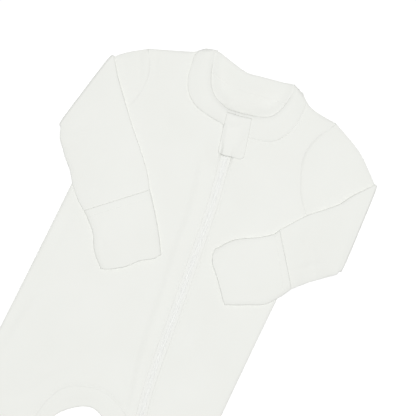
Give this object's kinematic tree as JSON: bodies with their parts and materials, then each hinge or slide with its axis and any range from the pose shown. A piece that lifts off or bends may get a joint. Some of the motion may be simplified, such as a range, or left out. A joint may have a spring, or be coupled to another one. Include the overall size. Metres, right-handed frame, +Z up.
{
  "type": "footed baby sleepsuit",
  "caption": "Zip-front footed baby sleepsuit in plain jersey, laid flat with its sleeves folded in over the front, with fold-over mitten cuffs, a crotch gusset and a zip pull tab that lifts.",
  "frame": {"origin": "underside of the back panel, on the surface that the suit lies on, midway along its length and on the body's centre line", "axes": "+Y up the body from the feet to the neck, +X to the wearer's left, +Z up through the suit from the back to the front"},
  "size_m": [0.2832, 0.5597, 0.0095],
  "materials": {
    "jersey": "fine soft off-white viscose jersey, matt",
    "zip_tape": "woven off-white zip tape with a nylon coil sewn along it",
    "zip_enamel": "off-white enamelled zip slider and pull tab"
  },
  "bodies": {
    "suit": {"back": "jersey", "front_right": "jersey", "front_left": "jersey", "neckband_back": "jersey", "neckband_front_right": "jersey", "neckband_front_left": "jersey", "sleeve_right": "jersey", "sleeve_left": "jersey", "cuff_right": "jersey", "cuff_left": "jersey", "mitten_right": "jersey", "mitten_left": "jersey", "crotch_gusset": "jersey", "foot_upper_right": "jersey", "foot_upper_left": "jersey", "foot_sole_right": "jersey", "foot_sole_left": "jersey", "zip_guard": "jersey", "zip_chain": "zip_tape", "zip_slider": "zip_enamel"},
    "zip_pull": {"zip_pull": "zip_enamel"}
  },
  "joints": [
    {"name": "pull_hinge", "type": "hinge", "parent": "suit", "child": "zip_pull", "pos_m": [0.00271, 0.21741, 0.0052], "axis": [-0.9674, -0.2533, 0], "range_deg": [0, 5]}
  ]
}
